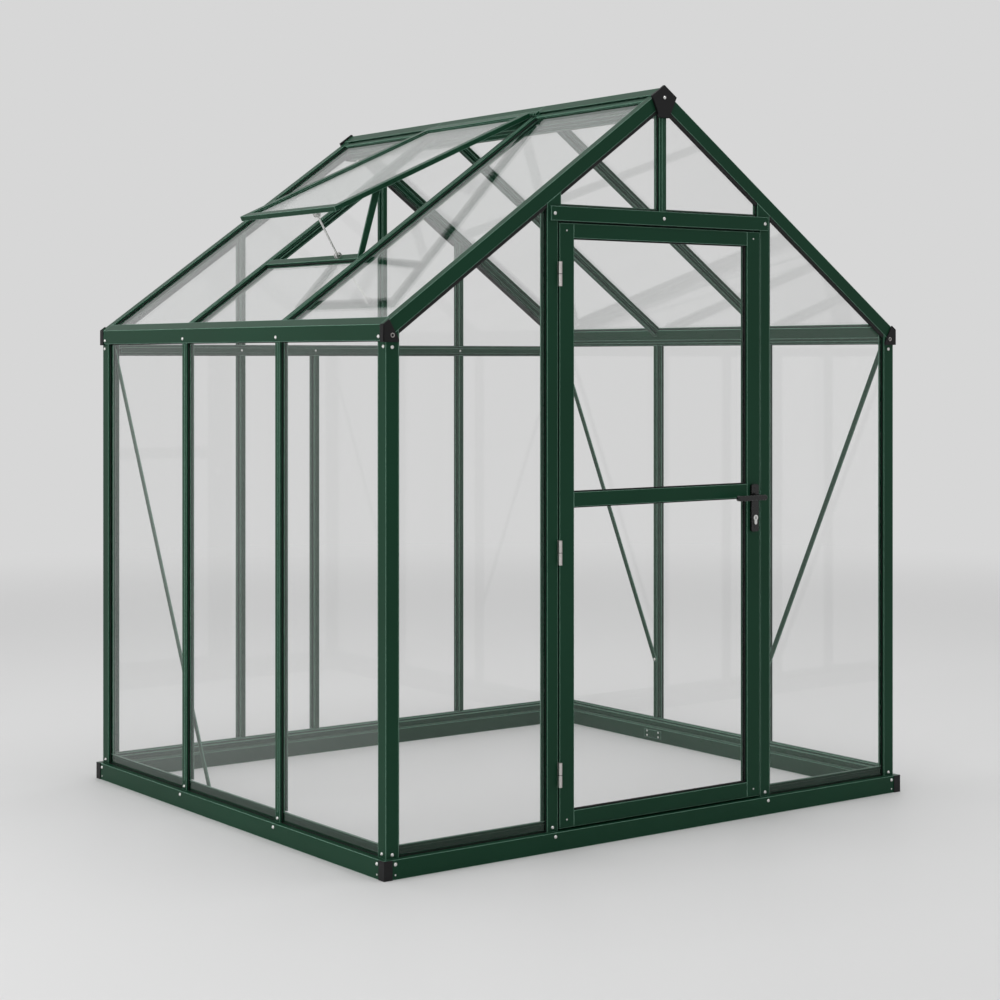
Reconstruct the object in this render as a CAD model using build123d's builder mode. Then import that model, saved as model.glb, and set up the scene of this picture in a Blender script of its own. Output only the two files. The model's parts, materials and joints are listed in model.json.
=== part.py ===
from build123d import *
import os
from math import atan2, cos, degrees, hypot, radians, sin, tan

# Glass greenhouse with a hinged door and a roof vent held open. Millimetres.
# The origin is on the ground, under the middle of the front wall's outer face.
# +X is to the right as one faces the door, +Y runs in through the door, +Z is up.

# Overall sizes, over the outer faces of the corner posts
width = 1900.0
depth = 1660.0
eave_height = 1450.0
ridge_height = 2130.0

# Glazing: outer cap, pane, and the seat behind the pane
cap_thick = 8.0
glass_thick = 4.0
seat_thick = 3.0
edge_gap = 1.5
frame_depth = 29.0

# Glazing bars: wall studs and roof rafters
bar_cap = 25.0
bar_web = 8.0
bar_seat = 32.0
bar_stem = 10.0
bar_foot = 18.0
bays = 3

# Corner posts
post_face_front = 40.0
post_face_side = 37.0
post_seat = 10.0

# Base rails, glazing sills and the black corner caps of the base
base_height = 52.0
base_proud = 14.0
base_inner = 40.0
base_chamfer = 4.0
sill_height = 30.0
sill_step = 18.0
sill_ledge = 6.0
sill_lip = 4.0
corner_cap = 25.0
corner_cap_thick = 2.0
plate_leg = 62.0
plate_thick = 2.0
plate_low = 7.0
plate_height = 34.0

# Eave beams, gable rafters and ridge
eave_proud = 6.0
eave_pocket = 12.0
eave_step = 18.0
eave_step_in = 9.0
eave_under = 8.0
rafter_face = 38.0
gable_core = 18.0
gable_cap = 28.0
roof_lip = 26.0
lip_lap = 12.0
ridge_half = 30.0
ridge_stem_half = 12.0
ridge_body_drop = 62.0
ridge_neck = 6.0
ridge_drop = 80.0
ridge_cap_leg = 36.0
ridge_cap_thick = 3.0
ridge_cap_joint = 1.0

# Black brackets at the eave corners and black caps at the ends of the ridge
bracket_thick = 5.0
bracket_proud = 3.0
bracket_length = 42.0
bracket_under = 4.0
bracket_return = 16.0
end_cap_thick = 8.0
end_cap_rise = 10.0
end_cap_half = 46.0
end_cap_clip = 10.0
end_cap_drop = 84.0
end_cap_foot = 18.0

# Doorway
door_half = 377.0
door_gap = 6.0
jamb_core = 26.0
jamb_face = 36.0
jamb_depth = 34.0
jamb_seat = 24.0
jamb_lip = 12.0
stop_width = 10.0
stop_thick = 3.0
header_drop = 393.0
header_height = 40.0
header_lap = 26.0
header_proud = 6.0
header_pocket = 9.0
header_seat = 8.0

# Door leaf
leaf_proud = 2.0
leaf_thick = 28.0
stile_width = 50.0
rail_width = 40.0
bottom_rail_width = 44.0
mid_rail_centre = 965.0
groove_depth = 8.0
leaf_glass_set = 10.0
pane_play = 0.5

# Lift-off door hinges in the left gap
hinge_low_rise = 149.0
hinge_middle = 820.0
hinge_top_drop = 141.0
hinge_length = 68.0
hinge_radius = 5.5
hinge_pin_radius = 3.0
hinge_pin_gap = 0.08
hinge_pin_short = 3.0
hinge_leaf_thick = 1.5
hinge_leaf_depth = 24.0
hinge_axis_front = 8.0
hinge_split = 0.5

# Lock plates, lock cylinder and lever handles
lock_plate_width = 28.0
lock_plate_height = 140.0
lock_plate_thick = 8.0
lock_plate_drop = 33.0
lock_plate_round = 6.0
lever_height = 947.0
lever_reach = 40.0
lever_length = 108.0
lever_radius = 8.0
grip_thick = 11.0
grip_round = 3.0
lever_gap = 0.4
collar_radius = 11.0
collar_length = 6.0
spindle_size = 8.0
spindle_gap = 1.0
cylinder_below = 62.0
cylinder_radius = 8.5
cylinder_stem_half = 5.0
cylinder_drop = 15.0
cylinder_proud = 3.0
cylinder_gap = 0.2

# Back wall: places of the uprights across the wall, and the tie bar between the posts
back_stud_places = (-450.0, -160.0, 120.0, 450.0)
gable_upright_places = (-450.0, 120.0, 450.0)
tie_height = 1384.0
tie_cap = 32.0

# Diagonal braces: flat bars on the inner faces of studs and posts
brace_width = 18.0
brace_thick = 3.0
brace_top = 1378.0
brace_inset = 25.0
brace_foot = 290.0
long_brace_foot = 66.0
long_brace_past = 104.0

# Roof vent over the middle bay of the left slope, held open
vent_hinge_place = 56.0
vent_lift = 8.5
vent_open_angle = 11.3
vent_length = 775.0
vent_side_gap = 4.0
vent_rail = 25.0
vent_thick = 15.0
vent_groove = 6.0
hinge_rail_bead = 4.0
hinge_rail_lap = 1.5
hinge_rail_gap = 0.3
vent_sill_depth = 20.0
vent_sill_lap = 14.0
stay_offset = 145.0
stay_radius = 3.0
eye_radius = 7.0
eye_thick = 10.0
eye_stand = 9.0
side_stay_width = 28.0
side_stay_thick = 4.0
side_stay_top = 80.0
side_stay_gap = 4.0

# Sizes worked out from the above
half_width = width / 2
rise = ridge_height - eave_height
pitch = atan2(rise, half_width)
slope_length = hypot(rise, half_width)
pane_in = cap_thick + glass_thick
seat_in = pane_in + seat_thick
sill_top = base_height + sill_height
rail_reach = half_width + base_proud
eave_bottom = eave_height - rafter_face / cos(pitch)
bay = depth / bays
bar_places = [bay * number for number in range(1, bays)]
bar_clear = bar_web / 2 + edge_gap
core_clear = frame_depth + edge_gap
jamb_line = door_half + door_gap
jamb_outer = jamb_line + jamb_core
header_low = ridge_height - header_drop
header_top = header_low + header_height
door_low = base_height + door_gap
door_high = header_low - door_gap
hinge_heights = (door_low + hinge_low_rise, hinge_middle, door_high - hinge_top_drop)
plate_middle = lever_height - lock_plate_drop
cylinder_height = lever_height - cylinder_below
leaf_back = leaf_thick - leaf_proud
tie_low = tie_height - tie_cap / 2
tie_high = tie_height + tie_cap / 2
above_roof = ridge_height + ridge_cap_leg

os.makedirs("parts", exist_ok=True)


def save(builder, name):
    builder.part.label = name
    export_step(builder.part, f"parts/{name}.step")


# An outline is a closed list of points in the plane that it is drawn on


def solid_from(points, plane, amount, mode=Mode.ADD):
    with BuildSketch(plane) as outline:
        with BuildLine():
            Polyline(*points, close=True)
        make_face()
    extrude(outline.sketch, amount=amount, mode=mode)


def upright(points, low, high, mode=Mode.ADD):
    solid_from(points, Plane.XY.offset(low), high - low, mode)


def along_x(points, start, end, mode=Mode.ADD):
    solid_from(points, Plane.YZ.offset(start), end - start, mode)


def along_y(points, start, end, mode=Mode.ADD):
    solid_from(points, Plane.XZ.offset(-end), end - start, mode)


def box_points(first, second):
    return [(first[0], second[0]), (first[1], second[0]), (first[1], second[1]), (first[0], second[1])]


def mirrored(points):
    """The outline's points with their reflection in its second axis, as one closed outline."""
    return points + [(-across, along) for across, along in reversed(points)]


def from_wall(end, inward):
    """Y of a place that lies inward of the front wall (end -1) or the back wall (end 1)."""
    return inward if end < 0 else depth - inward


def from_side(side, inward):
    """X of a place that lies inward of the left wall (side -1) or the right wall (side 1)."""
    return side * (half_width - inward)


# Roof geometry: runs are measured up the slope from the eave, depths under its outer face


def roof_height(x, under=0.0):
    return ridge_height - abs(x) * tan(pitch) - under / cos(pitch)


def slope_point(run, under):
    """Distance in from the wall's outer face, and height, of a place on the slope."""
    inward = run * cos(pitch) + under * sin(pitch)
    return inward, eave_height + run * sin(pitch) - under * cos(pitch)


def ridge_point(run, under):
    """Distance from the ridge line, and height, of a place measured down from the ridge."""
    outward = run * cos(pitch) - under * sin(pitch)
    return outward, ridge_height - run * sin(pitch) - under * cos(pitch)


def slope_plane(side, run):
    """Plane across the slope at the front wall: its X is along Y, its Y is the depth."""
    inward, height = slope_point(run, 0)
    origin = (from_side(side, inward), 0, height)
    return Plane(origin=origin, x_dir=(0, side, 0), z_dir=(-side * cos(pitch), 0, sin(pitch)))


def up_slope(points, side, start, end, mode=Mode.ADD):
    """Extrude a section of places along Y and depths, up one slope."""
    section = [(side * y, under) for y, under in points]
    solid_from(section, slope_plane(side, start), end - start, mode)


def trim_above(under, start, end):
    """Cut away what rises above a depth under the roof, over a stretch of Y."""
    reach = half_width + base_proud
    line = [(-reach, roof_height(reach, under)), (0, roof_height(0, under))]
    line += [(reach, roof_height(reach, under)), (reach, above_roof), (-reach, above_roof)]
    along_y(line, start, end, Mode.SUBTRACT)


def fit_under_gable(end):
    """Trim uprights to the gable rafters: their outer caps, then what lies behind."""
    outer = sorted((from_wall(end, -base_proud), from_wall(end, cap_thick)))
    behind = sorted((from_wall(end, cap_thick), from_wall(end, jamb_depth + cap_thick)))
    trim_above(rafter_face, outer[0], outer[1])
    trim_above(frame_depth, behind[0], behind[1])


# Sections of the glazing bars: across the bar first, then inward from its outer face


def bar_outer(cap):
    cap_half = cap / 2
    web = bar_web / 2
    return mirrored([(cap_half, 0), (cap_half, cap_thick), (web, cap_thick), (web, pane_in)])


def bar_inner():
    foot_start = frame_depth - seat_thick
    half = [(bar_seat / 2, pane_in), (bar_seat / 2, seat_in), (bar_stem / 2, seat_in)]
    half += [(bar_stem / 2, foot_start), (bar_foot / 2, foot_start), (bar_foot / 2, frame_depth)]
    return mirrored(half)


def end_wall_bar(end, x, low, inner_low, high):
    for points, start in ((bar_outer(bar_cap), low), (bar_inner(), inner_low)):
        upright([(x + across, from_wall(end, inward)) for across, inward in points], start, high)


def side_wall_bar(side, y, low, inner_low, high):
    for points, start in ((bar_outer(bar_cap), low), (bar_inner(), inner_low)):
        upright([(from_side(side, inward), y + across) for across, inward in points], start, high)


# Base rails, mitred at the corners, with a step on the inner side


def mitre(side, end, runs_along_x):
    """Cut a rail at 45 degrees through one corner of the plan."""
    normal = (-side, end, 0) if runs_along_x else (side, -end, 0)
    corner = (from_side(side, 0), from_wall(end, 0), 0)
    split(bisect_by=Plane(origin=corner, z_dir=normal), keep=Keep.TOP)


base_section = [(-base_proud, 0), (base_inner, 0), (base_inner, base_height - base_chamfer)]
base_section += [(base_inner - base_chamfer, base_height), (-base_proud, base_height)]

for end, name in ((-1, "base_rail_front"), (1, "base_rail_back")):
    with BuildPart() as base_rail:
        section = [(from_wall(end, inward), z) for inward, z in base_section]
        along_x(section, -rail_reach, rail_reach)
        mitre(-1, end, True)
        mitre(1, end, True)
    save(base_rail, name)

for side, name in ((-1, "base_rail_left"), (1, "base_rail_right")):
    with BuildPart() as base_rail:
        section = [(from_side(side, inward), z) for inward, z in base_section]
        along_y(section, -base_proud, depth + base_proud)
        mitre(side, -1, False)
        mitre(side, 1, False)
    save(base_rail, name)

with BuildPart() as base_corner_caps:
    skin = corner_cap_thick
    leg = corner_cap + skin
    cap_plan = [(0, 0), (leg, 0), (leg, skin), (skin, skin), (skin, leg), (0, leg)]
    outset = base_proud + skin
    for side in (-1, 1):
        for end in (-1, 1):
            plan = [(from_side(side, a - outset), from_wall(end, b - outset)) for a, b in cap_plan]
            upright(plan, 0, base_height)
save(base_corner_caps, "base_corner_caps")

# Angle plates that join the base rails inside the corners
with BuildPart() as base_corner_plates:
    near = base_inner
    back = base_inner + plate_thick
    far = base_inner + plate_leg
    angle_plan = [(near, near), (far, near), (far, back), (back, back), (back, far), (near, far)]
    for side in (-1, 1):
        for end in (-1, 1):
            plan = [(from_side(side, a), from_wall(end, b)) for a, b in angle_plan]
            upright(plan, plate_low, plate_low + plate_height)
save(base_corner_plates, "base_corner_plates")

# Glazing sills on the base rails, between posts and jambs, behind the panes
sill_in = frame_depth - sill_ledge
lip_in = seat_in + sill_lip
sill_section = [(pane_in, base_height), (frame_depth, base_height)]
sill_section += [(frame_depth, base_height + sill_step), (sill_in, base_height + sill_step)]
sill_section += [(sill_in, sill_top - sill_lip), (lip_in, sill_top - sill_lip)]
sill_section += [(lip_in, sill_top), (pane_in, sill_top)]
post_inside = half_width - frame_depth

with BuildPart() as end_sills:
    along_x(sill_section, -post_inside, -jamb_outer)
    along_x(sill_section, jamb_outer, post_inside)
    along_x([(from_wall(1, inward), z) for inward, z in sill_section], -post_inside, post_inside)
save(end_sills, "end_sills")

with BuildPart() as side_sills:
    for side in (-1, 1):
        section = [(from_side(side, inward), z) for inward, z in sill_section]
        along_y(section, frame_depth, depth - frame_depth)
save(side_sills, "side_sills")

# Corner posts: two outer faces over a square core, and a seat behind each pane
post_plan = [(0, 0), (post_face_front, 0), (post_face_front, cap_thick), (frame_depth, cap_thick)]
post_plan += [(frame_depth, frame_depth), (cap_thick, frame_depth), (cap_thick, post_face_side)]
post_plan += [(0, post_face_side)]
seat_to_front = box_points((frame_depth, post_face_front + post_seat), (pane_in, seat_in))
seat_to_side = box_points((pane_in, seat_in), (frame_depth, post_face_side + post_seat))

with BuildPart() as corner_posts:
    for side in (-1, 1):
        for end in (-1, 1):
            for plan, low in ((post_plan, base_height), (seat_to_front, sill_top), (seat_to_side, sill_top)):
                upright([(from_side(side, a), from_wall(end, b)) for a, b in plan], low, eave_height)
    fit_under_gable(-1)
    fit_under_gable(1)
    under_beams = box_points((-half_width, half_width), (gable_core, depth - gable_core))
    upright(under_beams, eave_bottom, eave_height, Mode.SUBTRACT)
save(corner_posts, "corner_posts")

with BuildPart() as side_studs:
    for side in (-1, 1):
        for place in bar_places:
            side_wall_bar(side, place, base_height, sill_top, eave_bottom)
save(side_studs, "side_studs")

with BuildPart() as back_studs:
    for place in back_stud_places:
        end_wall_bar(1, place, base_height, sill_top, tie_low)
save(back_studs, "back_studs")

with BuildPart() as gable_uprights_back:
    for place in gable_upright_places:
        end_wall_bar(1, place, tie_high, tie_high, ridge_height)
    fit_under_gable(1)
save(gable_uprights_back, "gable_uprights_back")

with BuildPart() as tie_bar_back:
    inner_end = post_face_front + post_seat
    for points, end_in in ((bar_outer(tie_cap), post_face_front), (bar_inner(), inner_end)):
        section = [(from_wall(1, inward), tie_height + across) for across, inward in points]
        along_x(section, end_in - half_width, half_width - end_in)
save(tie_bar_back, "tie_bar_back")

# Eave beams: a proud face, a lip over the roof panes, a pocket for the wall panes
lip_end = roof_lip - lip_lap
eave_section = [(-eave_proud, eave_bottom), (-eave_proud, roof_height(half_width + eave_proud))]
eave_section += [slope_point(roof_lip, 0), slope_point(roof_lip, cap_thick)]
eave_section += [slope_point(lip_end, cap_thick), slope_point(lip_end, pane_in)]
eave_section += [(frame_depth, roof_height(post_inside, pane_in)), (frame_depth, eave_bottom + eave_step)]
eave_section += [(frame_depth - eave_step_in, eave_bottom + eave_step)]
eave_section += [(frame_depth - eave_step_in, eave_bottom + eave_under)]
eave_section += [(seat_in, eave_bottom + eave_under), (seat_in, eave_bottom), (pane_in, eave_bottom)]
eave_section += [(pane_in, eave_bottom + eave_pocket), (cap_thick, eave_bottom + eave_pocket)]
eave_section += [(cap_thick, eave_bottom)]

with BuildPart() as eave_beams:
    for side in (-1, 1):
        section = [(from_side(side, inward), z) for inward, z in eave_section]
        along_y(section, gable_core, depth - gable_core)
save(eave_beams, "eave_beams")

# Ridge beam: two glazing pockets over a stem
ridge_side = [ridge_point(roof_lip, 0), ridge_point(roof_lip, cap_thick)]
ridge_side += [ridge_point(lip_end, cap_thick), ridge_point(lip_end, pane_in)]
ridge_side += [(ridge_half, roof_height(ridge_half, pane_in))]
ridge_side += [(ridge_half, ridge_height - ridge_body_drop)]
ridge_side += [(ridge_stem_half, ridge_height - ridge_body_drop - ridge_neck)]
ridge_side += [(ridge_stem_half, ridge_height - ridge_drop)]
ridge_outline = [(0, ridge_height)] + mirrored(ridge_side)

with BuildPart() as ridge_beam:
    along_y(ridge_outline, gable_core, depth - gable_core)
save(ridge_beam, "ridge_beam")

# Ridge cap: a folded strip in three lengths, joined over the rafters
fold = [(0, ridge_height + ridge_cap_thick / cos(pitch)), ridge_point(ridge_cap_leg, -ridge_cap_thick)]
fold += [ridge_point(ridge_cap_leg, 0), (0, ridge_height)]
fold += [(-x, z) for x, z in reversed(fold[1:3])]
cap_joints = [0.0] + bar_places + [depth]

with BuildPart() as ridge_cap:
    for start, stop in zip(cap_joints, cap_joints[1:]):
        first = start + (ridge_cap_joint / 2 if start > 0 else 0)
        last = stop - (ridge_cap_joint / 2 if stop < depth else 0)
        along_y(fold, first, last)
save(ridge_cap, "ridge_cap")

kite = [(0, ridge_height + end_cap_rise)]
kite_side = kite[0][1] - end_cap_half * tan(pitch)
kite += [(end_cap_half, kite_side), (end_cap_half - end_cap_clip / 2, kite_side - end_cap_clip)]
kite += [(end_cap_foot, ridge_height - end_cap_drop)]
kite += [(-x, z) for x, z in reversed(kite[1:])]

with BuildPart() as ridge_end_caps:
    along_y(kite, -end_cap_thick, 0)
    along_y(kite, depth, depth + end_cap_thick)
save(ridge_end_caps, "ridge_end_caps")

# Gable rafters: outer faces to the front and the roof, mitred at the ridge
gable_section = [(0, 0), (gable_core, 0), (gable_core, frame_depth), (cap_thick, frame_depth)]
gable_section += [(cap_thick, rafter_face), (0, rafter_face)]
gable_lip = box_points((gable_core, gable_cap), (0, cap_thick))
gable_seat = box_points((gable_core, gable_cap), (pane_in, seat_in))
seat_start = (frame_depth - pane_in * sin(pitch)) / cos(pitch)
seat_stop = (ridge_half + seat_in * sin(pitch)) / cos(pitch)

for side, name in ((-1, "gable_rafters_left"), (1, "gable_rafters_right")):
    with BuildPart() as gable_rafters:
        for end in (-1, 1):
            section = [(from_wall(end, y), under) for y, under in gable_section]
            up_slope(section, side, -rafter_face, slope_length + rafter_face)
        outer = Plane(origin=(side * (half_width + eave_proud), 0, 0), z_dir=(-side, 0, 0))
        split(bisect_by=outer, keep=Keep.TOP)
        split(bisect_by=Plane(origin=(0, 0, 0), z_dir=(side, 0, 0)), keep=Keep.TOP)
        for end in (-1, 1):
            lip = [(from_wall(end, y), under) for y, under in gable_lip]
            up_slope(lip, side, roof_lip, slope_length - roof_lip)
            seat = [(from_wall(end, y), under) for y, under in gable_seat]
            up_slope(seat, side, seat_start, slope_length - seat_stop)
    save(gable_rafters, name)

# Roof rafters over the studs: the part under the panes butts against eave and ridge
with BuildPart() as roof_rafters:
    for side in (-1, 1):
        for place in bar_places:
            up_slope([(place + across, under) for across, under in bar_inner()], side, 0, slope_length)
    whole = (0, depth)
    for span in ((-rail_reach, -post_inside), (-ridge_half, ridge_half), (post_inside, rail_reach)):
        upright(box_points(span, whole), base_height, above_roof, Mode.SUBTRACT)
    for side in (-1, 1):
        for place in bar_places:
            outer = [(place + across, under) for across, under in bar_outer(bar_cap)]
            up_slope(outer, side, roof_lip, slope_length - roof_lip)
save(roof_rafters, "roof_rafters")

# Black brackets that cover the eave corners
bracket_out = eave_proud + bracket_proud
bracket_low = eave_bottom - bracket_under
bracket_face = [(-bracket_out, bracket_low)]
bracket_face += [(-bracket_out, roof_height(half_width + bracket_out, -bracket_proud))]
bracket_face += [slope_point(bracket_length, -bracket_proud), slope_point(bracket_length, rafter_face)]
bracket_face += [(post_face_front, bracket_low)]
bracket_side_top = roof_height(half_width + bracket_out)

with BuildPart() as eave_brackets:
    for side in (-1, 1):
        for end in (-1, 1):
            face = [(from_side(side, inward), z) for inward, z in bracket_face]
            plate = sorted((from_wall(end, -bracket_thick), from_wall(end, 0)))
            along_y(face, plate[0], plate[1])
            fold_x = [from_side(side, -bracket_out), from_side(side, -eave_proud)]
            fold_y = [from_wall(end, -bracket_thick), from_wall(end, bracket_return)]
            upright(box_points(fold_x, fold_y), bracket_low, bracket_side_top)
save(eave_brackets, "eave_brackets")

# Door jambs, with the strip that the leaf closes against, and a lip for the gable panes
jamb_plan = [(jamb_line, 0), (jamb_line + jamb_face, 0), (jamb_line + jamb_face, cap_thick)]
jamb_plan += [(jamb_outer, cap_thick), (jamb_outer, jamb_depth), (jamb_line, jamb_depth)]
jamb_pane_seat = box_points((jamb_outer, jamb_outer + jamb_seat), (pane_in, seat_in))
stop_strip = box_points((jamb_line - stop_width, jamb_line), (jamb_depth - stop_thick, jamb_depth))
upper_lip = box_points((jamb_line - jamb_lip, jamb_line), (0, cap_thick))

with BuildPart() as door_jambs:
    for side in (-1, 1):
        for plan, low, high in (
            (jamb_plan, base_height, ridge_height),
            (jamb_pane_seat, sill_top, ridge_height),
            (stop_strip, base_height, header_low),
            (upper_lip, header_top, ridge_height),
        ):
            upright([(side * x, y) for x, y in plan], low, high)
    fit_under_gable(-1)
save(door_jambs, "door_jambs")

pocket_floor = header_top - header_pocket
header_section = [(0, header_low), (0, header_top), (cap_thick, header_top), (cap_thick, pocket_floor)]
header_section += [(pane_in, pocket_floor), (pane_in, header_top + header_seat)]
header_section += [(seat_in, header_top + header_seat), (seat_in, pocket_floor)]
header_section += [(jamb_depth, pocket_floor), (jamb_depth, header_low)]

with BuildPart() as door_header:
    along_x(header_section, -jamb_line, jamb_line)
    plate_half = jamb_line + header_lap
    along_x(box_points((-header_proud, 0), (header_low, header_top)), -plate_half, plate_half)
    stop = box_points((jamb_depth - stop_thick, jamb_depth), (header_low - stop_width, header_low))
    along_x(stop, stop_width - jamb_line, jamb_line - stop_width)
save(door_header, "door_header")

with BuildPart() as gable_mullion_front:
    end_wall_bar(-1, 0, header_top, header_top + header_seat, ridge_height)
    fit_under_gable(-1)
    beside_ridge = box_points((-ridge_half, ridge_half), (gable_core, jamb_depth))
    upright(beside_ridge, ridge_height - ridge_drop, above_roof, Mode.SUBTRACT)
save(gable_mullion_front, "gable_mullion_front")


# Panes of the walls, between the cores of the bars that hold them


def upright_pane(end, low_points, top_under):
    """A pane of an end wall: flat foot, top edge along the roof where top_under is given."""
    (left, right), (low, high) = low_points
    top = [(right, high), (left, high)]
    if top_under is not None:
        top = [(right, roof_height(right, top_under))]
        if left < 0 < right:
            top.append((0, roof_height(0, top_under)))
        top.append((left, roof_height(left, top_under)))
    face = sorted((from_wall(end, cap_thick), from_wall(end, pane_in)))
    along_y([(left, low), (right, low)] + top, face[0], face[1])


pane_low = base_height + edge_gap
post_clear = half_width - core_clear

for side, name in ((-1, "glass_left"), (1, "glass_right")):
    with BuildPart() as wall_glass:
        lines = [core_clear] + bar_places + [depth - core_clear]
        for first, last in zip(lines, lines[1:]):
            start = first + (bar_clear if first in bar_places else 0)
            stop = last - (bar_clear if last in bar_places else 0)
            plan_x = [from_side(side, cap_thick), from_side(side, pane_in)]
            pane_top = eave_bottom + eave_pocket - edge_gap
            upright(box_points(plan_x, (start, stop)), pane_low, pane_top)
    save(wall_glass, name)

with BuildPart() as glass_front:
    upright_pane(-1, ((-post_clear, -jamb_outer - edge_gap), (pane_low, None)), core_clear)
    upright_pane(-1, ((jamb_outer + edge_gap, post_clear), (pane_low, None)), core_clear)
save(glass_front, "glass_front")

with BuildPart() as glass_gable_front:
    gable_pane_low = pocket_floor + edge_gap
    upright_pane(-1, ((edge_gap - jamb_line, -bar_clear), (gable_pane_low, None)), core_clear)
    upright_pane(-1, ((bar_clear, jamb_line - edge_gap), (gable_pane_low, None)), core_clear)
save(glass_gable_front, "glass_gable_front")


def back_panes(places, low, high, top_under):
    lines = [-post_clear] + list(places) + [post_clear]
    for first, last in zip(lines, lines[1:]):
        start = first + (bar_clear if first in places else 0)
        stop = last - (bar_clear if last in places else 0)
        upright_pane(1, ((start, stop), (low, high)), top_under)


with BuildPart() as glass_back:
    back_panes(back_stud_places, pane_low, tie_height - bar_clear, None)
save(glass_back, "glass_back")

with BuildPart() as glass_gable_back:
    back_panes(gable_upright_places, tie_height + bar_clear, None, core_clear)
save(glass_gable_back, "glass_gable_back")

# Roof panes: under the lips of eave and ridge; the vent's bay has one up to the vent sill
sill_run = slope_length - vent_hinge_place - vent_length + vent_sill_lap
roof_pane_start = lip_end + edge_gap
roof_pane_stop = slope_length - lip_end - edge_gap

for side, name in ((-1, "glass_roof_left"), (1, "glass_roof_right")):
    with BuildPart() as roof_glass:
        lines = [gable_core + edge_gap] + bar_places + [depth - gable_core - edge_gap]
        for number, (first, last) in enumerate(zip(lines, lines[1:])):
            start = first + (bar_clear if first in bar_places else 0)
            stop = last - (bar_clear if last in bar_places else 0)
            in_vent_bay = side < 0 and number == bays // 2
            top = sill_run - bar_clear if in_vent_bay else roof_pane_stop
            up_slope(box_points((start, stop), (cap_thick, pane_in)), side, roof_pane_start, top)
    save(roof_glass, name)

# Vent sill across the middle bay of the left slope
vent_front = bar_places[bays // 2 - 1]
vent_back = bar_places[bays // 2]
vent_middle = (vent_front + vent_back) / 2
half_cap = bar_cap / 2
half_web = bar_web / 2
half_seat = bar_seat / 2
vent_sill_section = [(-half_cap, 0), (half_cap, 0), (half_cap, vent_sill_depth), (0, vent_sill_depth)]
vent_sill_section += [(0, seat_in), (-half_seat, seat_in), (-half_seat, pane_in), (-half_web, pane_in)]
vent_sill_section += [(-half_web, cap_thick), (-half_cap, cap_thick)]


def on_left_slope(run, under):
    inward, z = slope_point(run, under)
    return from_side(-1, inward), z


with BuildPart() as vent_sill:
    section = [on_left_slope(sill_run + along, under) for along, under in vent_sill_section]
    along_y(section, vent_front + half_seat, vent_back - half_seat)
save(vent_sill, "vent_sill")

# Hinge rail beside the ridge cap, with a round bead that the vent's top rail turns on
hinge_out, hinge_z = ridge_point(vent_hinge_place, -vent_lift)
rail_end = vent_hinge_place - hinge_rail_bead + hinge_rail_lap
rail_corners = box_points((ridge_cap_leg, rail_end), (-vent_lift, 0))

with BuildPart() as vent_hinge_rail:
    corners = [ridge_point(run, under) for run, under in rail_corners]
    along_y([(-x, z) for x, z in corners], vent_front - half_cap, vent_back + half_cap)
    with BuildSketch(Plane.XZ.offset(-vent_back - half_cap)):
        with Locations((-hinge_out, hinge_z)):
            Circle(hinge_rail_bead)
    extrude(amount=vent_back - vent_front + bar_cap)
save(vent_hinge_rail, "vent_hinge_rail")

# The vent's own plane: X down the vent from its hinge, Z out of the roof
tilt = pitch - radians(vent_open_angle)
vent_down = (-cos(tilt), 0, -sin(tilt))
vent_out = (-sin(tilt), 0, cos(tilt))
vent_plane = Plane(origin=(-hinge_out, vent_middle, hinge_z), x_dir=vent_down, z_dir=vent_out)
vent_start = hinge_rail_bead + hinge_rail_gap
vent_span = vent_length - vent_start
vent_width = bay - 2 * vent_side_gap
vent_centre = vent_start + vent_span / 2
pane_long = vent_span - 2 * (vent_rail - vent_groove)
pane_wide = vent_width - 2 * (vent_rail - vent_groove)


def on_vent(down, out):
    """X and Z of a place on the vent, down from the hinge and out from its middle."""
    x = -hinge_out + down * vent_down[0] + out * vent_out[0]
    return x, hinge_z + down * vent_down[2] + out * vent_out[2]


with BuildPart() as vent_frame:
    with BuildSketch(vent_plane.offset(-vent_thick / 2)):
        with Locations((vent_centre, 0)):
            Rectangle(vent_span, vent_width)
            Rectangle(vent_span - 2 * vent_rail, vent_width - 2 * vent_rail, mode=Mode.SUBTRACT)
    extrude(amount=vent_thick)
    with BuildSketch(vent_plane.offset(-glass_thick / 2)):
        with Locations((vent_centre, 0)):
            Rectangle(pane_long, pane_wide)
    extrude(amount=glass_thick, mode=Mode.SUBTRACT)
save(vent_frame, "vent_frame")

with BuildPart() as vent_glass:
    with BuildSketch(vent_plane.offset(-glass_thick / 2)):
        with Locations((vent_centre, 0)):
            Rectangle(pane_long - 2 * pane_play, pane_wide - 2 * pane_play)
    extrude(amount=glass_thick)
save(vent_glass, "vent_glass")

# Stay rod from an eye on the vent sill to an eye under the vent's bottom rail
stay_y = vent_middle - stay_offset
low_eye = on_left_slope(sill_run, -eye_stand)
high_eye = on_vent(vent_length - vent_rail / 2, -vent_thick / 2 - eye_stand)
stay_angle = atan2(high_eye[1] - low_eye[1], high_eye[0] - low_eye[0])
stay_span = hypot(high_eye[1] - low_eye[1], high_eye[0] - low_eye[0])
eye_start = stay_y - eye_thick / 2

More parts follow.
